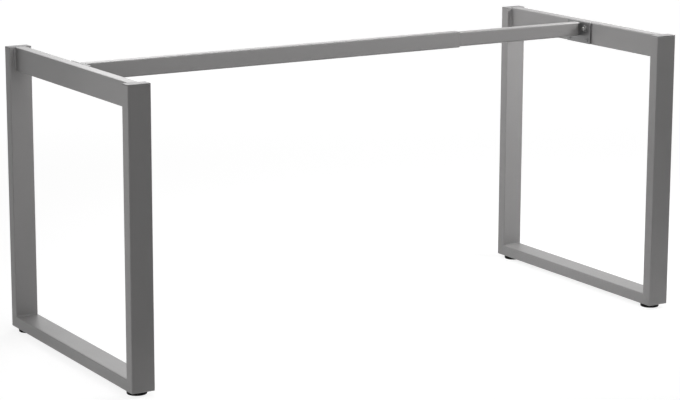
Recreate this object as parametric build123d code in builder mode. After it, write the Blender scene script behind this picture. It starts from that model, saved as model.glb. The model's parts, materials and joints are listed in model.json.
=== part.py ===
from build123d import *
import os

# Table base of two closed o-shaped legs joined by a telescopic crossbar.
# Millimetres, +X along the crossbar from the left leg to the right one, +Y away from the viewer, +Z up.
# The origin is on the floor at the middle of the base.

# Overall size
frame_width = 1600.0  # over the outward faces of the two legs, at the length that the photo shows
frame_depth = 700.0
frame_height = 740.0  # floor to the top of the steel, where the table top rests
foot_gap = 10.0  # floor to the underside of the steel

# Leg tube, the same section everywhere, turned on edge for the top rail
tube_wide = 60.0
tube_narrow = 30.0
tube_wall = 2.0
tube_radius = 2.5
mitre_radius = 4.0  # ground outer corner of the welded mitre
cap_thick = 2.0
weld_size = 3.0

# Levelling feet
foot_inset = 36.0  # front or rear face of the leg to the foot's axis
pad_radius = 24.5
pad_edge = 2.0
foot_play = 0.4  # pad to the nut's flange when the foot is screwed fully in
stud_radius = 4.0
stud_height = 24.0  # above the underside of the steel
stud_seat = 4.0  # depth of the stud in the pad
nut_flange_radius = 7.5
nut_flange_thick = 0.8
nut_sleeve_radius = 5.5
nut_height = 15.0
thread_play = 0.06

# Crossbar: the inner tube slides in the outer one
bar_height = 42.5
bar_thick = 25.0
bar_wall = 1.5
bar_radius = 2.5
inner_bar_radius = 3.5  # rounder than the outer tube, as its wide top highlight shows
slide_play = 0.5
mouth_from_middle = 344.0
inner_overlap = 600.0  # length of the inner tube that is inside the outer one
inner_end_gap = 9.0  # bracket to the end of the inner tube
lock_radius = 3.0
lock_head_radius = 5.5
lock_head = 3.5
lock_clear = 0.4  # tip of a lock screw to the inner tube
lock_from_mouth = 30.0
lock_pitch = 60.0

# End brackets, bolted to the rails' inward faces
plate_width = 100.0
plate_height = 59.0
plate_thick = 6.0
plate_edge = 0.6
stub_length = 60.0
stub_play = 0.3
stub_wall = 3.0
bolt_spread = 52.0
bolt_drop = 19.0  # top of the plate to the bolts' axes
bolt_radius = 3.0
bolt_head_across = 10.0
bolt_head = 4.0
bolt_length = 20.0
washer_radius = 9.0
washer_thick = 1.6
washer_play = 0.2
screw_spread = 76.0
screw_drop = 48.5
screw_radius = 2.5
screw_head_radius = 5.0
screw_head = 2.8
screw_length = 14.0

# Worked out from the sizes above
steel_bottom = foot_gap
steel_height = frame_height - foot_gap
half_width = frame_width / 2
half_depth = frame_depth / 2
leg_x = half_width - tube_wide / 2
upright_y = half_depth - tube_narrow / 2
rail_half_length = half_depth - tube_narrow
rail_bottom = frame_height - tube_wide
rail_face_x = leg_x - tube_narrow / 2
foot_y = half_depth - foot_inset
pad_height = foot_gap - nut_flange_thick - foot_play
tube_inner_radius = tube_radius - tube_wall
plate_face_x = rail_face_x - plate_thick
bar_z = frame_height - bar_height / 2
stub_radius = inner_bar_radius - bar_wall
inner_height = bar_height - 2 * (bar_wall + slide_play)
inner_thick = bar_thick - 2 * (bar_wall + slide_play)

sides = {"left": -1, "right": 1}
ends = {"front": -1, "rear": 1}

os.makedirs("parts", exist_ok=True)


def save(piece, name):
    piece.part.label = name
    export_step(piece.part, f"parts/{name}.step")


def box_section(wide, tall, radius, wall, inner_radius):
    """Draws a hollow rectangular section in the sketch that is open."""
    RectangleRounded(wide, tall, radius)
    RectangleRounded(wide - 2 * wall, tall - 2 * wall, inner_radius, mode=Mode.SUBTRACT)


def cove(x, y, toward_x, toward_y, size):
    """Draws a concave fillet in the corner at x, y, open towards the two given directions."""
    corner = (Align.MIN if toward_x > 0 else Align.MAX, Align.MIN if toward_y > 0 else Align.MAX)
    with Locations((x, y)):
        Rectangle(size, size, align=corner)
    with Locations((x + toward_x * size, y + toward_y * size)):
        Circle(size, mode=Mode.SUBTRACT)


def build_upright(x, end):
    """Upright of a leg, cut to a mitre below and closed by a cap above."""
    with BuildPart() as upright:
        with BuildSketch(Plane.XY.offset(steel_bottom)):
            with Locations((x, end * upright_y)):
                box_section(tube_wide, tube_narrow, tube_radius, tube_wall, tube_inner_radius)
        extrude(amount=steel_height - cap_thick)
        with BuildSketch(Plane.YZ.offset(x)):
            with BuildLine():
                Polyline(
                    (end * half_depth, steel_bottom),
                    (end * rail_half_length, steel_bottom + tube_narrow),
                    (end * rail_half_length, steel_bottom),
                    close=True,
                )
            make_face()
        extrude(amount=tube_wide, both=True, mode=Mode.SUBTRACT)
        with BuildSketch(Plane.YZ.offset(x)):
            cove(end * half_depth, steel_bottom, -end, 1, mitre_radius)
        extrude(amount=tube_wide, both=True, mode=Mode.SUBTRACT)
    return upright


def build_cap(x, end):
    """Steel plate that closes the top of an upright."""
    with BuildPart() as cap:
        with BuildSketch(Plane.XY.offset(frame_height - cap_thick)):
            with Locations((x, end * upright_y)):
                RectangleRounded(tube_wide, tube_narrow, tube_radius)
        extrude(amount=cap_thick)
    return cap


def build_bottom_rail(x):
    """Bottom rail of a leg, mitred at both ends, with a hole for each foot's nut."""
    with BuildPart() as rail:
        with BuildSketch(Plane.XZ):
            with Locations((x, steel_bottom + tube_narrow / 2)):
                box_section(tube_wide, tube_narrow, tube_radius, tube_wall, tube_inner_radius)
        extrude(amount=half_depth, both=True)
        for end in ends.values():
            with BuildSketch(Plane.YZ.offset(x)):
                with BuildLine():
                    Polyline(
                        (end * half_depth, steel_bottom),
                        (end * half_depth, steel_bottom + tube_narrow),
                        (end * rail_half_length, steel_bottom + tube_narrow),
                        close=True,
                    )
                make_face()
            extrude(amount=tube_wide, both=True, mode=Mode.SUBTRACT)
            with BuildSketch(Plane.YZ.offset(x)):
                cove(end * half_depth, steel_bottom, -end, 1, mitre_radius)
            extrude(amount=tube_wide, both=True, mode=Mode.SUBTRACT)
        with BuildSketch(Plane.XY.offset(steel_bottom)):
            with Locations((x, foot_y), (x, -foot_y)):
                Circle(nut_sleeve_radius)
        extrude(amount=tube_wall, mode=Mode.SUBTRACT)
    return rail


def bracket_points(spread, drop):
    """Where a bracket's bolts or screws are, in the plane of the rail's inward face."""
    return [(-spread / 2, frame_height - drop), (spread / 2, frame_height - drop)]


def build_top_rail(x, side):
    """Top rail of a leg, on edge between the uprights, with threaded holes for its bracket."""
    with BuildPart() as rail:
        with BuildSketch(Plane.XZ):
            with Locations((x, frame_height - tube_wide / 2)):
                box_section(tube_narrow, tube_wide, tube_radius, tube_wall, tube_inner_radius)
        extrude(amount=rail_half_length, both=True)
        with BuildSketch(Plane.YZ.offset(side * rail_face_x)):
            with Locations(*bracket_points(bolt_spread, bolt_drop)):
                Circle(bolt_radius)
            with Locations(*bracket_points(screw_spread, screw_drop)):
                Circle(screw_radius)
        extrude(amount=side * tube_wall, mode=Mode.SUBTRACT)
    return rail


def build_welds(x):
    """Weld beads of one leg: inner lower corners, rail sides and rail undersides."""
    with BuildPart() as welds:
        for end in ends.values():
            inner_face = end * rail_half_length
            with BuildSketch(Plane.YZ.offset(x)):
                cove(inner_face, steel_bottom + tube_narrow, -end, 1, weld_size)
            extrude(amount=tube_wide / 2 - tube_radius, both=True)
            with BuildSketch(Plane.YZ.offset(x)):
                cove(inner_face, rail_bottom, -end, -1, weld_size)
            extrude(amount=tube_narrow / 2 - tube_radius, both=True)
            for face in (-1, 1):
                with BuildSketch(Plane.XY.offset(rail_bottom + tube_radius)):
                    cove(x + face * tube_narrow / 2, inner_face, face, -end, weld_size)
                extrude(amount=tube_wide - 2 * tube_radius)
    return welds


def build_foot_pad(x, y):
    """Round plastic pad that stands on the floor."""
    with BuildPart() as pad:
        with BuildSketch(Plane((x, y, 0))):
            Circle(pad_radius)
        extrude(amount=pad_height)
        fillet(pad.edges().group_by(Axis.Z)[0], pad_edge)
        fillet(pad.edges().group_by(Axis.Z)[-1], pad_edge / 2)
        with BuildSketch(Plane((x, y, pad_height - stud_seat))):
            Circle(stud_radius)
        extrude(amount=stud_seat, mode=Mode.SUBTRACT)
    return pad


def build_foot_stud(x, y):
    """Threaded stud, moulded into the pad and screwed into the nut."""
    with BuildPart() as stud:
        with BuildSketch(Plane((x, y, pad_height - stud_seat))):
            Circle(stud_radius)
        extrude(amount=steel_bottom + stud_height - pad_height + stud_seat)
        chamfer(stud.edges().group_by(Axis.Z)[-1], stud_radius / 5)
    return stud


def build_foot_nut(x, y):
    """Rivet nut set in the wall of the bottom rail."""
    with BuildPart() as nut:
        with BuildSketch(Plane((x, y, steel_bottom - nut_flange_thick))):
            Circle(nut_flange_radius)
        extrude(amount=nut_flange_thick)
        with BuildSketch(Plane((x, y, steel_bottom))):
            Circle(nut_sleeve_radius)
        extrude(amount=nut_height)
        with BuildSketch(Plane((x, y, steel_bottom - nut_flange_thick))):
            Circle(stud_radius + thread_play)
        extrude(amount=nut_flange_thick + nut_height, mode=Mode.SUBTRACT)
    return nut


def build_bracket_plate(side):
    """Steel plate against the rail's inward face, with four holes."""
    with BuildPart() as plate:
        with BuildSketch(Plane.YZ.offset(side * plate_face_x)):
            with Locations((0, frame_height - plate_height / 2)):
                Rectangle(plate_width, plate_height)
        extrude(amount=side * plate_thick)
        fillet(plate.edges().filter_by(Axis.X), 2 * plate_edge)
        outward = plate.faces().sort_by(Axis.X)[0 if side > 0 else -1]
        chamfer(outward.edges(), plate_edge)
        with BuildSketch(Plane.YZ.offset(side * plate_face_x)):
            with Locations(*bracket_points(bolt_spread, bolt_drop)):
                Circle(bolt_radius)
            with Locations(*bracket_points(screw_spread, screw_drop)):
                Circle(screw_radius)
        extrude(amount=side * plate_thick, mode=Mode.SUBTRACT)
    return plate


def build_bracket_stub(side, wide, tall, z_top):
    """Short tube welded to the plate, which the end of the crossbar is pushed over."""
    with BuildPart() as stub:
        with BuildSketch(Plane.YZ.offset(side * plate_face_x)):
            with Locations((0, z_top - tall / 2)):
                RectangleRounded(wide, tall, stub_radius)
                Rectangle(wide - 2 * stub_wall, tall - 2 * stub_wall, mode=Mode.SUBTRACT)
        extrude(amount=-side * stub_length)
    return stub


def build_bracket_bolts(side):
    """Two hexagon bolts through the plate into the rail."""
    head_x = plate_face_x - washer_thick
    with BuildPart() as bolts:
        with BuildSketch(Plane.YZ.offset(side * head_x)):
            with Locations(*bracket_points(bolt_spread, bolt_drop)):
                RegularPolygon(bolt_head_across / 2, 6, major_radius=False)
        extrude(amount=-side * bolt_head)
        heads = bolts.faces().sort_by(Axis.X)
        chamfer([e for f in (heads[:2] if side > 0 else heads[-2:]) for e in f.edges()], bolt_head / 10)
        with BuildSketch(Plane.YZ.offset(side * head_x)):
            with Locations(*bracket_points(bolt_spread, bolt_drop)):
                Circle(bolt_radius)
        extrude(amount=side * bolt_length)
    return bolts


def build_bracket_washers(side):
    """Large washers under the bolts' heads."""
    with BuildPart() as washers:
        with BuildSketch(Plane.YZ.offset(side * plate_face_x)):
            with Locations(*bracket_points(bolt_spread, bolt_drop)):
                Circle(washer_radius)
                Circle(bolt_radius + washer_play, mode=Mode.SUBTRACT)
        extrude(amount=-side * washer_thick)
    return washers


def build_bracket_screws(side):
    """Two pan-headed screws near the plate's lower corners."""
    with BuildPart() as screws:
        with BuildSketch(Plane.YZ.offset(side * plate_face_x)):
            with Locations(*bracket_points(screw_spread, screw_drop)):
                Circle(screw_head_radius)
        extrude(amount=-side * screw_head)
        heads = screws.faces().sort_by(Axis.X)
        fillet([e for f in (heads[:2] if side > 0 else heads[-2:]) for e in f.edges()], screw_head / 2)
        with BuildSketch(Plane.YZ.offset(side * plate_face_x)):
            with Locations(*bracket_points(screw_spread, screw_drop)):
                Circle(screw_radius)
        extrude(amount=side * screw_length)
    return screws


def lock_points():
    """Where the lock screws are, along the underside of the outer tube."""
    first = mouth_from_middle - lock_from_mouth
    return [(first, 0), (first - lock_pitch, 0)]


def build_outer_tube():
    """Larger tube of the crossbar, fixed to the left leg."""
    with BuildPart() as outer:
        with BuildSketch(Plane.YZ.offset(-plate_face_x)):
            with Locations((0, bar_z)):
                box_section(bar_thick, bar_height, bar_radius, bar_wall, bar_radius - bar_wall)
        extrude(amount=plate_face_x + mouth_from_middle)
        with BuildSketch(Plane.XY.offset(bar_z - bar_height / 2)):
            with Locations(*lock_points()):
                Circle(lock_radius)
        extrude(amount=bar_wall, mode=Mode.SUBTRACT)
    return outer


def build_inner_tube():
    """Smaller tube of the crossbar, fixed to the right leg and sliding in the outer one."""
    near_end = mouth_from_middle - inner_overlap
    far_end = plate_face_x - inner_end_gap
    with BuildPart() as inner:
        with BuildSketch(Plane.YZ.offset(near_end)):
            with Locations((0, bar_z)):
                box_section(inner_thick, inner_height, inner_bar_radius, bar_wall, inner_bar_radius - bar_wall)
        extrude(amount=far_end - near_end)
    return inner


def build_lock_screws():
    """Two screws in the underside of the outer tube, which clamp the inner one."""
    tip_z = bar_z - inner_height / 2 - lock_clear
    underside = bar_z - bar_height / 2
    with BuildPart() as screws:
        with BuildSketch(Plane.XY.offset(underside)):
            with Locations(*lock_points()):
                Circle(lock_head_radius)
        extrude(amount=-lock_head)
        fillet(screws.edges().group_by(Axis.Z)[0], lock_head / 3)
        with BuildSketch(Plane.XY.offset(underside)):
            with Locations(*lock_points()):
                Circle(lock_radius)
        extrude(amount=tip_z - underside)
    return screws


# The two legs
for side_name, side in sides.items():
    x = side * leg_x
    save(build_bottom_rail(x), f"{side_name}_bottom_rail")
    save(build_top_rail(x, side), f"{side_name}_top_rail")
    save(build_welds(x), f"{side_name}_welds")
    for end_name, end in ends.items():
        corner = f"{side_name}_{end_name}"
        save(build_upright(x, end), f"{corner}_upright")
        save(build_cap(x, end), f"{corner}_cap")
        save(build_foot_pad(x, end * foot_y), f"{corner}_foot_pad")
        save(build_foot_stud(x, end * foot_y), f"{corner}_foot_stud")
        save(build_foot_nut(x, end * foot_y), f"{corner}_foot_nut")

# The brackets
for side_name, side in sides.items():
    save(build_bracket_plate(side), f"{side_name}_bracket_plate")
    save(build_bracket_bolts(side), f"{side_name}_bracket_bolts")
    save(build_bracket_washers(side), f"{side_name}_bracket_washers")
    save(build_bracket_screws(side), f"{side_name}_bracket_screws")

# Each stub's upper wall carries the tube, so its top meets the tube's upper wall from inside
outer_room_top = bar_z + bar_height / 2 - bar_wall
inner_room_top = bar_z + inner_height / 2 - bar_wall
outer_stub = (bar_thick - 2 * (bar_wall + stub_play), bar_height - 2 * (bar_wall + stub_play))
inner_stub = (inner_thick - 2 * (bar_wall + stub_play), inner_height - 2 * (bar_wall + stub_play))
save(build_bracket_stub(-1, *outer_stub, outer_room_top), "left_bracket_stub")
save(build_bracket_stub(1, *inner_stub, inner_room_top), "right_bracket_stub")

# The crossbar
save(build_outer_tube(), "crossbar_outer_tube")
save(build_inner_tube(), "crossbar_inner_tube")
save(build_lock_screws(), "crossbar_lock_screws")
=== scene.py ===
import json
import math
from functools import partial

import bpy
from mathutils import Matrix, Vector


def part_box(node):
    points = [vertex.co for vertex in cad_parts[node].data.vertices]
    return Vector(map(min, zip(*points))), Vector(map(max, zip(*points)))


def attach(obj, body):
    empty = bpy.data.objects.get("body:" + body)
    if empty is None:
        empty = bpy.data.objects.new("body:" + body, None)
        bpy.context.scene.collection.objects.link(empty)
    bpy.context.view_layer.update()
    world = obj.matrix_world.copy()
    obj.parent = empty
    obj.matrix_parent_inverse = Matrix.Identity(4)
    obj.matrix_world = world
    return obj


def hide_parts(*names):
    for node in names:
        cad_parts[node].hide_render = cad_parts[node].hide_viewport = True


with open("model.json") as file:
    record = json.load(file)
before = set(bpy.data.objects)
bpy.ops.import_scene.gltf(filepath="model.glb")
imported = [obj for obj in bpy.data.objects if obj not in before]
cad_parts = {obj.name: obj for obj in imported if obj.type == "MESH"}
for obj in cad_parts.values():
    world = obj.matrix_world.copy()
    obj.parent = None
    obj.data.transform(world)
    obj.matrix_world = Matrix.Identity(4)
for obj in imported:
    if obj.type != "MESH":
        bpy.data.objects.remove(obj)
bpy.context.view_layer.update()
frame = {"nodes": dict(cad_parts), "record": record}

slotOfNode = {row["node"]: row["material_slot"] for row in frame["record"]["subparts"]}
print("frame loaded:", len(frame["nodes"]), "nodes")


# Small helpers for node trees and meshes

def put(tree, kind, sockets=None, **settings):
    made = tree.nodes.new(kind)
    for key, value in settings.items():
        setattr(made, key, value)
    for key, value in (sockets or {}).items():
        if isinstance(value, bpy.types.NodeSocket):
            tree.links.new(value, made.inputs[key])
        else:
            made.inputs[key].default_value = value
    return made


def calc(tree, operation, *values):
    return put(tree, "ShaderNodeMath", dict(enumerate(values)), operation=operation).outputs[0]


def newTree(name, inputs):
    tree = bpy.data.node_groups.new(name, "GeometryNodeTree")
    tree.interface.new_socket("Geometry", in_out="INPUT", socket_type="NodeSocketGeometry")
    tree.interface.new_socket("Geometry", in_out="OUTPUT", socket_type="NodeSocketGeometry")
    for label, kind in inputs.items():
        tree.interface.new_socket(label, in_out="INPUT", socket_type="NodeSocket" + kind)
    return tree, tree.nodes.new("NodeGroupInput").outputs


def closeTree(tree, geometry, material):
    realized = put(tree, "GeometryNodeRealizeInstances", {"Geometry": geometry})
    smooth = put(tree, "GeometryNodeSetShadeSmooth", {"Geometry": realized.outputs[0]})
    painted = put(tree, "GeometryNodeSetMaterial", {"Geometry": smooth.outputs[0], "Material": material})
    put(tree, "NodeGroupOutput", {"Geometry": painted.outputs[0]})


def addObject(name, data):
    item = bpy.data.objects.new(name, data)
    bpy.context.scene.collection.objects.link(item)
    return item


def grow(name, startMesh, tree, values):
    piece = addObject(name, startMesh)
    maker = piece.modifiers.new("maker", "NODES")
    maker.node_group = tree
    for item in tree.interface.items_tree:
        if item.in_out == "INPUT" and item.name in values:
            maker[item.identifier] = values[item.name]
    bpy.context.view_layer.update()
    grown = bpy.data.meshes.new_from_object(piece.evaluated_get(bpy.context.evaluated_depsgraph_get()))
    piece.modifiers.remove(maker)
    piece.data = grown
    return piece


def pathMesh(name, points, edges):
    mesh = bpy.data.meshes.new(name)
    mesh.from_pydata(points, edges, [])
    return mesh


def ring(radius, height, count=48):
    if radius == 0:
        return [(0, 0, height)]
    turns = [2 * math.pi * i / count for i in range(count)]
    reach = radius if callable(radius) else lambda angle: radius
    level = height if callable(height) else lambda angle: height
    return [(reach(a) * math.cos(a), reach(a) * math.sin(a), level(a)) for a in turns]


def ringMesh(name, rings, turn):
    count = max(len(row) for row in rings)
    points, starts = [], []
    for row in rings:
        starts.append(len(points))
        points += row
    faces = []
    for k in range(len(rings) - 1):
        lower, upper = rings[k], rings[k + 1]
        a, b = starts[k], starts[k + 1]
        for i in range(count):
            j = (i + 1) % count
            if len(lower) == 1:
                faces.append((a, b + j, b + i))
            elif len(upper) == 1:
                faces.append((a + i, a + j, b))
            else:
                faces.append((a + i, a + j, b + j, b + i))
    mesh = bpy.data.meshes.new(name)
    mesh.from_pydata([turn @ Vector(p) for p in points], [], faces)
    return mesh


creaseAngle = math.radians(32)


def sharpen(piece):
    piece.data.set_sharp_from_angle(angle=creaseAngle)


def dress(piece, body, slotName, *nodes):
    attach(piece, body)
    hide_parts(*nodes)


# Finishes; each noise is given by its scale and detail, each roughness by its lowest and highest

noiseSpan = (0.3, 0.7)  # where most values of a noise lie


def finish(name, metallic):
    material = bpy.data.materials.new(name)
    material.use_nodes = True
    tree = material.node_tree
    shader = tree.nodes["Principled BSDF"]
    shader.inputs["Metallic"].default_value = metallic
    place = tree.nodes.new("ShaderNodeTexCoord").outputs["Object"]
    return material, tree, shader, place


def noise(tree, place, scale, detail):
    return put(tree, "ShaderNodeTexNoise", {"Vector": place, "Scale": scale, "Detail": detail}).outputs["Fac"]


def between(tree, factor, result, span=noiseSpan):
    return put(tree, "ShaderNodeMapRange", {
        "Value": factor, "From Min": span[0], "From Max": span[1], "To Min": result[0], "To Max": result[1],
    }).outputs[0]


def mixColour(tree, factor, one, other):
    mixed = put(tree, "ShaderNodeMix", {
        0: factor, 6: (*one, 1), 7: (*other, 1),  # 6 and 7 are its colour sockets
    }, data_type="RGBA")
    return mixed.outputs[2]


def raiseGrain(tree, shader, height, depth, softEdge=0):
    bump = put(tree, "ShaderNodeBump", {"Height": height, "Distance": depth, "Strength": 1.0})
    if softEdge:
        rounded = put(tree, "ShaderNodeBevel", {"Radius": softEdge}, samples=6)
        tree.links.new(rounded.outputs[0], bump.inputs["Normal"])
    tree.links.new(bump.outputs[0], shader.inputs["Normal"])


powder = {
    "colour": (0.281, 0.2755, 0.275),
    "paleFleck": (0.355, 0.35, 0.35),
    "metallic": 0.12,
    "roughness": (0.39, 0.45),
    "peel": (700, 2.0),  # orange peel
    "peelDepth": 0.000012,
    "softEdge": 0.003,  # the coat flows round the tubes' edges
    "fleck": (3800, 0.0),
    "fleckSpan": (0.62, 0.72),  # part of the noise that turns into flecks
    "cloud": (9.0, 3.0),
}
# closures: the same powder coat, its colours darkened as painted shade, and rougher
shadedCapPowder = dict(powder, colour=(0.2, 0.196, 0.197), paleFleck=(0.25, 0.247, 0.247), roughness=(0.47, 0.53))


def makePowder(name, look):
    material, tree, shader, place = finish(name, look["metallic"])
    raiseGrain(tree, shader, noise(tree, place, *look["peel"]), look["peelDepth"], look["softEdge"])
    fleck = between(tree, noise(tree, place, *look["fleck"]), (0, 1), look["fleckSpan"])
    tree.links.new(mixColour(tree, fleck, look["colour"], look["paleFleck"]), shader.inputs["Base Color"])
    cloud = noise(tree, place, *look["cloud"])
    tree.links.new(between(tree, cloud, look["roughness"]), shader.inputs["Roughness"])
    return material


zinc = {
    "cool": (0.46, 0.475, 0.49),
    "warm": (0.50, 0.485, 0.45),
    "roughness": (0.24, 0.4),
    "cloud": (160.0, 3.0),
    "wear": (900.0, 2.0),
    "grain": (2500.0, 2.0),
    "grainDepth": 0.000006,
}


def makeZinc():
    material, tree, shader, place = finish("brightZinc", 1.0)
    cloud = between(tree, noise(tree, place, *zinc["cloud"]), (0, 1))
    tree.links.new(mixColour(tree, cloud, zinc["cool"], zinc["warm"]), shader.inputs["Base Color"])
    wear = noise(tree, place, *zinc["wear"])
    tree.links.new(between(tree, wear, zinc["roughness"]), shader.inputs["Roughness"])
    raiseGrain(tree, shader, noise(tree, place, *zinc["grain"]), zinc["grainDepth"])
    return material


bracket = {
    "dark": (0.172, 0.172, 0.176),
    "pale": (0.26, 0.258, 0.256),
    "roughness": (0.34, 0.5),
    "stretch": (1, 1, 9),  # draws the rolling marks out along the plate
    "rolled": (220.0, 4.0),
    "rollDepth": 0.00001,
    "softEdge": 0.0025,
}


def makeBracketZinc():
    material, tree, shader, place = finish("dullZinc", 1.0)
    drawn = put(tree, "ShaderNodeMapping", {"Vector": place, "Scale": bracket["stretch"]}).outputs[0]
    rolled = noise(tree, drawn, *bracket["rolled"])
    shade = mixColour(tree, between(tree, rolled, (0, 1)), bracket["dark"], bracket["pale"])
    tree.links.new(shade, shader.inputs["Base Color"])
    tree.links.new(between(tree, rolled, bracket["roughness"]), shader.inputs["Roughness"])
    raiseGrain(tree, shader, rolled, bracket["rollDepth"], bracket["softEdge"])
    return material


plastic = {
    "colour": (0.005, 0.005, 0.005),
    "worn": (0.011, 0.011, 0.011),
    "wornSpan": (0.45, 0.8),  # part of the noise that looks worn
    "roughness": (0.45, 0.62),
    "specular": 0.08,
    "cloud": (60.0, 3.0),
    "grainScale": 2600,
    "grainDepth": 0.00003,
}


def makePlastic():
    material, tree, shader, place = finish("blackPlastic", 0.0)
    shader.inputs["Specular IOR Level"].default_value = plastic["specular"]
    grain = put(tree, "ShaderNodeTexVoronoi", {"Vector": place, "Scale": plastic["grainScale"]})
    raiseGrain(tree, shader, grain.outputs["Distance"], plastic["grainDepth"])
    worn = between(tree, noise(tree, place, *plastic["cloud"]), (0, 1), plastic["wornSpan"])
    tree.links.new(mixColour(tree, worn, plastic["colour"], plastic["worn"]), shader.inputs["Base Color"])
    tree.links.new(between(tree, worn, plastic["roughness"], (0, 1)), shader.inputs["Roughness"])
    return material


finishes = {
    "satin_grey_paint": makePowder("satinPowderCoat", powder),
    "zinc_plate": makeZinc(),
    "zinc_bracket": makeBracketZinc(),
    "black_plastic": makePlastic(),
}
shadedCapFinish = makePowder("closureShadedPowderCoat", shadedCapPowder)  # the closures are rougher, and their colour is darkened as painted shade
for nodeName, piece in frame["nodes"].items():
    material = shadedCapFinish if nodeName.endswith("_cap") else finishes[slotOfNode[nodeName]]
    if not piece.material_slots:
        piece.data.materials.append(material)
    for slot in piece.material_slots:
        slot.material = material
print("finishes set")


# Weld beads of both legs, a row of overlapping ripples along each joint

weld = {
    "size": 0.0026,
    "ripple": 0.0017,  # length of one ripple
    "depth": 0.22,
    "setBack": 0.0025,  # from the rounded edges of the tube
    "rowsPerRipple": 6,
    "sides": 14,
    "endSize": 0.1,  # what is left of the size at both ends, squared
    "wander": 0.3,  # share by which the size varies
    "wanderScale": 130.0,
}


def beadTree():
    tree, given = newTree("weldBead", {
        "Size": "Float", "Ripple": "Float", "Depth": "Float", "Seed": "Float", "Material": "Material",
    })
    do = partial(calc, tree)
    path = put(tree, "GeometryNodeMeshToCurve", {"Mesh": given["Geometry"]})
    step = do("DIVIDE", given["Ripple"], weld["rowsPerRipple"])
    fine = put(tree, "GeometryNodeResampleCurve", {"Curve": path.outputs[0], "Length": step}, mode="LENGTH")
    along = put(tree, "GeometryNodeSplineParameter").outputs["Length"]
    whole = put(tree, "GeometryNodeSplineLength").outputs["Length"]
    wave = do("ABSOLUTE", do("SINE", do("MULTIPLY", do("DIVIDE", along, given["Ripple"]), math.pi)))
    ridge = do("ADD", do("MULTIPLY", wave, given["Depth"]), do("SUBTRACT", 1, given["Depth"]))
    fromEnd = do("MINIMUM", along, do("SUBTRACT", whole, along))
    squared = do("ADD", do("DIVIDE", fromEnd, given["Size"]), weld["endSize"])
    taper = do("SQRT", do("MINIMUM", squared, 1))
    uneven = put(tree, "ShaderNodeTexNoise", {
        "W": given["Seed"], "Scale": weld["wanderScale"],
    }, noise_dimensions="4D").outputs["Fac"]
    wander = do("ADD", do("MULTIPLY", uneven, weld["wander"]), 1 - weld["wander"] / 2)
    scale = do("MULTIPLY", do("MULTIPLY", ridge, taper), do("MULTIPLY", wander, given["Size"]))
    profile = put(tree, "GeometryNodeCurvePrimitiveCircle", {"Resolution": weld["sides"], "Radius": 1.0})
    bead = put(tree, "GeometryNodeCurveToMesh", {
        "Curve": fine.outputs[0], "Profile Curve": profile.outputs[0], "Scale": scale, "Fill Caps": True,
    })
    closeTree(tree, bead.outputs[0], given["Material"])
    return tree


beads = beadTree()
for seed, side in enumerate(("left", "right")):
    railLow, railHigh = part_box(side + "_top_rail")
    footLow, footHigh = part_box(side + "_bottom_rail")
    setBack = weld["setBack"]
    points = []
    for innerY in (railLow.y, railHigh.y):
        for low, high, z in ((footLow.x, footHigh.x, footHigh.z), (railLow.x, railHigh.x, railLow.z)):
            points += [(low + setBack, innerY, z), (high - setBack, innerY, z)]
        for x in (railLow.x, railHigh.x):
            points += [(x, innerY, railLow.z + setBack), (x, innerY, railHigh.z - setBack)]
    edges = [(i, i + 1) for i in range(0, len(points), 2)]
    piece = grow(side + "_weld_beads", pathMesh("weldPaths", points, edges), beads, {
        "Size": weld["size"], "Ripple": weld["ripple"], "Depth": weld["depth"], "Seed": float(seed),
        "Material": finishes["satin_grey_paint"],
    })
    dress(piece, side + "_side", "satin_grey_paint", side + "_welds")
print("weld beads laid")


# Threaded studs of the feet

thread = {
    "pitch": 0.00125,
    "depth": 0.00062,
    "rootFlat": 1.2,  # above 1 it leaves a flat root between the flanks
    "rowsPerPitch": 8,
    "sides": 28,
}


def threadTree():
    tree, given = newTree("thread", {
        "Radius": "Float", "Length": "Float", "Rows": "Int", "Pitch": "Float", "Depth": "Float",
        "Foot": "Vector", "Material": "Material",
    })
    do = partial(calc, tree)
    rod = put(tree, "GeometryNodeMeshCylinder", {
        "Vertices": thread["sides"], "Side Segments": given["Rows"], "Radius": 1.0, "Depth": given["Length"],
    })
    place = put(tree, "GeometryNodeInputPosition").outputs[0]
    parts = put(tree, "ShaderNodeSeparateXYZ", {0: place}).outputs
    angle = do("DIVIDE", do("ARCTAN2", parts[1], parts[0]), 2 * math.pi)
    height = do("ADD", parts[2], do("DIVIDE", given["Length"], 2))
    phase = do("FRACT", do("ADD", do("SUBTRACT", do("DIVIDE", height, given["Pitch"]), angle), 1))
    flank = do("ABSOLUTE", do("SUBTRACT", do("MULTIPLY", phase, 2), 1))
    cut = do("MULTIPLY", do("MINIMUM", do("MULTIPLY", flank, thread["rootFlat"]), 1), given["Depth"])
    lead = do("SUBTRACT", given["Depth"], do("SUBTRACT", given["Length"], height))  # slopes the tip
    radius = do("SUBTRACT", given["Radius"], do("MAXIMUM", cut, do("MAXIMUM", lead, 0)))
    wide = put(tree, "ShaderNodeCombineXYZ", {
        0: do("MULTIPLY", parts[0], radius), 1: do("MULTIPLY", parts[1], radius), 2: height,
    }).outputs[0]
    moved = put(tree, "ShaderNodeVectorMath", {0: wide, 1: given["Foot"]}, operation="ADD").outputs[0]
    shaped = put(tree, "GeometryNodeSetPosition", {"Geometry": rod.outputs["Mesh"], "Position": moved})
    closeTree(tree, shaped.outputs[0], given["Material"])
    return tree


threads = threadTree()
corners = [(side, end) for side in ("left", "right") for end in ("front", "rear")]
for side, end in corners:
    nodeName = f"{side}_{end}_foot_stud"
    low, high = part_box(nodeName)
    length = high.z - low.z
    piece = grow(f"{side}_{end}_threaded_stud", pathMesh("studSeat", [], []), threads, {
        "Radius": (high.x - low.x) / 2,
        "Length": length,
        "Rows": round(length / thread["pitch"] * thread["rowsPerPitch"]),
        "Pitch": thread["pitch"],
        "Depth": thread["depth"],
        "Foot": ((low.x + high.x) / 2, (low.y + high.y) / 2, low.z),
        "Material": finishes["zinc_plate"],
    })
    dress(piece, f"{side}_{end}_foot", "zinc_plate", nodeName)
print("studs threaded")


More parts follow.
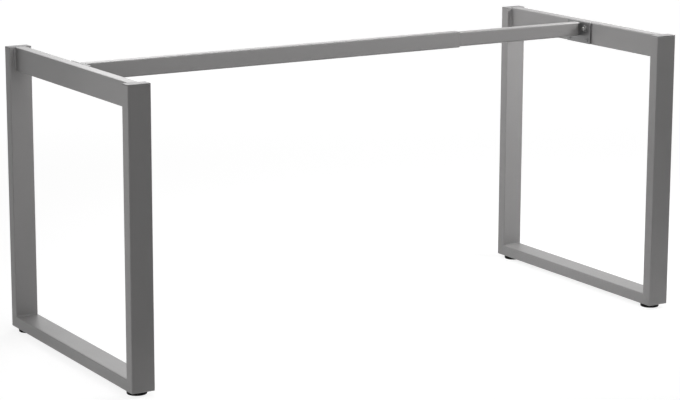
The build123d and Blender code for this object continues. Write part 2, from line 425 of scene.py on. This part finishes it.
# Bolts, pan-headed screws and lock screws: one model each, set on their points
# A tip gives its radius and length in shares of the shank's radius, other shares are of the head

hexBolt = {
    "across": 0.010, "head": 0.004, "shank": 0.003, "length": 0.020, "tip": (0.75, 0.25),
    "crown": 0.46,  # radius of the flat top, as a share of the width across
    "bearing": 0.0004,  # raised round face under the head
    "slope": math.tan(math.radians(30)),
    "spread": 0.052, "drop": 0.019, "washer": 0.0016, "seed": 0,
}
panScrew = {
    "radius": 0.005, "head": 0.0028, "shank": 0.0025, "length": 0.014, "tip": (0.3, 1.5),
    "flank": ((0.94, 0), (1, 0.2), (0.98, 0.5)), "top": (0.9, 0.75, 0.6), "dome": 0.35,
    "mouth": (0.52, 0.15),  # reach and half width of the cross recess
    "pit": (0.22, 0.1), "floor": (0.25, 0.15),
    "spread": 0.076, "drop": 0.0485, "seed": 4,
}
lockScrew = {
    "radius": 0.0055, "head": 0.0016, "shank": 0.003, "length": 0.0031, "tip": (0.8, 0.2),
    "flank": ((0.96, 0), (1, 0.12), (1, 0.4)), "top": (0.93, 0.8, 0.6), "dome": 0.45,
    "socket": 0.004, "floor": (0.35, 0.2),
    "first": 0.030, "pitch": 0.060, "seed": 9,
}
tiny = 1e-6  # keeps divisions from zero


def hexReach(across):
    return lambda angle: across / 2 / math.cos((angle % (math.pi / 3)) - math.pi / 6)


def crossReach(arm, half):
    def reach(angle):
        c, s = max(abs(math.cos(angle)), tiny), max(abs(math.sin(angle)), tiny)
        return max(min(arm / c, half / s), min(arm / s, half / c))
    return reach


def shankRings(screw):
    shank, length = screw["shank"], screw["length"]
    thin, taper = screw["tip"]
    return [
        ring(0, -length), ring(shank * thin, -length), ring(shank, -length + shank * taper), ring(shank, 0),
    ]


def boltRings():
    head, bearing = hexBolt["head"], hexBolt["bearing"]
    crown = hexBolt["across"] * hexBolt["crown"]
    reach = hexReach(hexBolt["across"])
    return shankRings(hexBolt) + [
        ring(crown, 0), ring(crown, bearing), ring(reach, bearing),
        ring(reach, lambda angle: head - (reach(angle) - crown) * hexBolt["slope"]),
        ring(crown, head), ring(0, head),
    ]


def domedRings(screw, mouth, pit):
    radius, head = screw["radius"], screw["head"]

    def dome(reach):
        return head * (1 - screw["dome"] * (reach / radius) ** 2)

    rings = shankRings(screw)
    rings += [ring(radius * wide, head * high) for wide, high in screw["flank"]]
    rings += [ring(radius * wide, dome(radius * wide)) for wide in screw["top"]]
    rings += [ring(mouth, lambda angle: dome(mouth(angle)))]
    rings += [ring(pit, head * screw["floor"][0]), ring(0, head * screw["floor"][1])]
    return rings


def panRings():
    mouth, pit = ([share * panScrew["radius"] for share in panScrew[part]] for part in ("mouth", "pit"))
    return domedRings(panScrew, crossReach(*mouth), crossReach(*pit))


def lockRings():
    hexagon = hexReach(lockScrew["socket"])
    return domedRings(lockScrew, hexagon, hexagon)


def screwTree():
    tree, given = newTree("screwSet", {
        "Model": "Object", "Axis": "Vector", "Seed": "Int", "Material": "Material",
    })
    model = put(tree, "GeometryNodeObjectInfo", {"Object": given["Model"]}).outputs["Geometry"]
    turn = put(tree, "FunctionNodeRandomValue", {
        2: 0.0, 3: math.pi, "Seed": given["Seed"],  # 2 and 3 are the lowest and highest value
    }, data_type="FLOAT")
    spin = put(tree, "FunctionNodeAxisAngleToRotation", {"Axis": given["Axis"], "Angle": turn.outputs[1]})
    points = put(tree, "GeometryNodeMeshToPoints", {"Mesh": given["Geometry"]})
    placed = put(tree, "GeometryNodeInstanceOnPoints", {
        "Points": points.outputs[0], "Instance": model, "Rotation": spin.outputs[0],
    })
    closeTree(tree, placed.outputs[0], given["Material"])
    return tree


screwSet = screwTree()


def setScrews(name, rings, towards, points, body, nodeName, seed, material):
    turn = Vector(towards).to_track_quat("Z", "Y").to_matrix().to_4x4()
    model = addObject("screwModel", ringMesh("screwModel", rings, turn))
    piece = grow(name, pathMesh("screwPoints", points, []), screwSet, {
        "Model": model, "Axis": towards, "Seed": seed, "Material": material,
    })
    bpy.data.objects.remove(model)
    sharpen(piece)
    dress(piece, body, "zinc_plate", nodeName)


for count, side in enumerate(("left", "right")):
    inward = 1 if side == "left" else -1
    low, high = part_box(side + "_bracket_plate")
    faceX = high.x if side == "left" else low.x
    boltX = faceX + inward * hexBolt["washer"]
    boltPoints = [(boltX, k * hexBolt["spread"] / 2, high.z - hexBolt["drop"]) for k in (-1, 1)]
    screwPoints = [(faceX, k * panScrew["spread"] / 2, high.z - panScrew["drop"]) for k in (-1, 1)]
    setScrews(
        side + "_hex_bolts", boltRings(), (inward, 0, 0), boltPoints,
        side + "_side", side + "_bracket_bolts", hexBolt["seed"] + count, finishes["zinc_plate"],
    )
    setScrews(
        side + "_pan_screws", panRings(), (inward, 0, 0), screwPoints,
        side + "_side", side + "_bracket_screws", panScrew["seed"] + count, finishes["zinc_bracket"],
    )
tubeLow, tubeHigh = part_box("crossbar_outer_tube")
lockPoints = [(tubeHigh.x - lockScrew["first"] - k * lockScrew["pitch"], 0, tubeLow.z) for k in (0, 1)]
setScrews(
    "crossbar_socket_screws", lockRings(), (0, 0, -1), lockPoints,
    "left_side", "crossbar_lock_screws", lockScrew["seed"], finishes["zinc_plate"],
)
print("screws set")


# Foot pads: a moulded disc with a raised collar round the stud and a ring-shaped hollow below

pad = {
    "hub": 0.006,  # radius of the middle that stands on the floor
    "rim": 0.0036,  # width of the outer ring that stands on the floor, up to the pad's side
    "slope": 0.0006,  # width of the sloping walls of the hollow and the collar
    "hollow": 0.0012,
    "edge": 0.0016,
    "edgeTurns": (0, 0.5, 1.0, math.pi / 2),
    "topEdge": ((0, 0.7), (0.25, 0.2), (1, 0)),  # inward and downward, as shares of the edge
    "collar": 0.0095,
    "collarFoot": 0.001,
    "collarLip": 0.0003,
    "collarDrop": 0.0008,  # rim of the disc below the collar
    "sides": 96,
}


def padRings(radius, thick):
    edge, slope, collar = pad["edge"], pad["slope"], pad["collar"]
    top = thick - pad["collarDrop"]
    profile = [
        (0, 0.0), (pad["hub"], 0.0), (pad["hub"] + slope, pad["hollow"]),
        (radius - pad["rim"] - slope, pad["hollow"]), (radius - pad["rim"], 0.0),
    ]
    profile += [(radius - edge * (1 - math.sin(t)), edge * (1 - math.cos(t))) for t in pad["edgeTurns"]]
    profile += [(radius - edge * inward, top - edge * down) for inward, down in pad["topEdge"]]
    profile += [
        (collar + pad["collarFoot"], top), (collar, top + pad["collarLip"]),
        (collar - slope, thick), (0, thick),
    ]
    return [ring(r, z, pad["sides"]) for r, z in profile]


for side, end in corners:
    nodeName = f"{side}_{end}_foot_pad"
    low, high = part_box(nodeName)
    shift = Matrix.Translation(((low.x + high.x) / 2, (low.y + high.y) / 2, low.z))
    rings = padRings((high.x - low.x) / 2, high.z - low.z)
    piece = addObject(f"{side}_{end}_pad", ringMesh("pad", rings, shift))
    piece.data.materials.append(finishes["black_plastic"])
    piece.data.shade_smooth()
    sharpen(piece)
    dress(piece, f"{side}_{end}_foot", "black_plastic", nodeName)
print("foot pads moulded")


# Studio: floor, lamps, world and camera

studio = {
    "floorSize": 60,
    "floorColour": 0.8,
    "floorShade": 0.25,  # share of the white floor that takes the shadow
    "floorGlow": (0.86, 1.0),  # near the middle and far from it
    "glowSpan": (1.2, 4.0),  # metres from the middle between which the glow grows
    "ambient": 0.03,
}
lamps = {  # place, aim, size, power
    "rearFill": ((1.5, 3.6, 1.8), (0, 0, 0.4), (2.0, 1.6), 8.4),
    "rightFront": ((2.2, -4.0, 1.6), (0, 0, 0.4), (1.8, 1.4), 6.1),
    "overBar": ((-0.1, -0.38, 1.6), (0, 0.2, 0.4), (1.6, 0.3), 10.3),
    "innerRear": ((-0.2, 0.85, 1.55), (0.74, 0.3, 0.4), (0.6, 0.6), 11),
    "rightInner": ((1.4, -0.25, 1.25), (0.775, 0.3, 0.35), (0.5, 0.4), 14),
    "leftNear": ((-1.45, -0.34, 0.56), (-0.8, -0.28, 0.45), (0.3, 0.8), 1.7),
    "leftCorner": ((-1.35, -0.9, 1.0), (-0.8, -0.2, 0.6), (0.4, 0.4), 0.8),
}
shot = {
    "place": (-2.9844, -4.8328, 1.5622), "yaw": 0.5502, "pitch": 0.1975, "roll": 0.0032,
    "lens": 117.66, "shiftY": -0.0588, "farClip": 200,
}


def seenDirectly(tree):
    rays = tree.nodes.new("ShaderNodeLightPath").outputs
    mirrored = calc(tree, "MAXIMUM", rays["Is Glossy Ray"], rays["Is Transmission Ray"])
    return calc(tree, "MAXIMUM", rays["Is Camera Ray"], mirrored)


def greyDiffuse(tree, grey):
    return put(tree, "ShaderNodeBsdfDiffuse", {"Color": (grey, grey, grey, 1)}).outputs[0]


def makeFloor():
    half = studio["floorSize"] / 2
    mesh = bpy.data.meshes.new("floor")
    square = [(-half, -half, 0), (half, -half, 0), (half, half, 0), (-half, half, 0)]
    mesh.from_pydata(square, [], [(0, 1, 2, 3)])
    floor = addObject("floor", mesh)
    material = bpy.data.materials.new("whiteFloor")
    material.use_nodes = True
    tree = material.node_tree
    tree.nodes.clear()
    plain = greyDiffuse(tree, studio["floorColour"])
    shade = greyDiffuse(tree, studio["floorShade"])
    place = tree.nodes.new("ShaderNodeTexCoord").outputs["Object"]
    away = put(tree, "ShaderNodeVectorMath", {0: place}, operation="LENGTH").outputs["Value"]
    brightness = between(tree, away, studio["floorGlow"], studio["glowSpan"])
    glow = put(tree, "ShaderNodeEmission", {"Strength": brightness})
    white = put(tree, "ShaderNodeAddShader", {0: shade, 1: glow.outputs[0]})
    mixed = put(tree, "ShaderNodeMixShader", {0: seenDirectly(tree), 1: plain, 2: white.outputs[0]})
    put(tree, "ShaderNodeOutputMaterial", {"Surface": mixed.outputs[0]})
    mesh.materials.append(material)


def makeWorld():
    world = bpy.data.worlds.new("studio")
    bpy.context.scene.world = world
    world.use_nodes = True
    tree = world.node_tree
    tree.nodes.clear()
    dim = put(tree, "ShaderNodeBackground", {"Color": (1, 1, 1, 1), "Strength": studio["ambient"]})
    white = put(tree, "ShaderNodeBackground", {"Color": (1, 1, 1, 1), "Strength": 1.0})
    mixed = put(tree, "ShaderNodeMixShader", {0: seenDirectly(tree), 1: dim.outputs[0], 2: white.outputs[0]})
    put(tree, "ShaderNodeOutputWorld", {"Surface": mixed.outputs[0]})


def makeLamps():
    for name, (place, aim, size, power) in lamps.items():
        light = bpy.data.lights.new(name, "AREA")
        light.shape = "RECTANGLE"
        light.size, light.size_y = size
        light.energy = power
        item = addObject(name, light)
        item.location = place
        item.rotation_euler = (Vector(aim) - Vector(place)).to_track_quat("-Z", "Y").to_euler()
        item.visible_camera = False


def makeCamera():
    data = bpy.data.cameras.new("shot")
    data.lens = shot["lens"]
    data.shift_y = shot["shiftY"]
    data.clip_end = shot["farClip"]
    camera = addObject("shot", data)
    level = Matrix.Rotation(-shot["yaw"], 4, "Z") @ Matrix.Rotation(math.pi / 2 - shot["pitch"], 4, "X")
    camera.matrix_world = Matrix.Translation(shot["place"]) @ level @ Matrix.Rotation(shot["roll"], 4, "Z")
    bpy.context.scene.camera = camera


makeFloor()
makeWorld()
makeLamps()
makeCamera()
bpy.context.scene.view_settings.view_transform = "Standard"
print("studio ready")
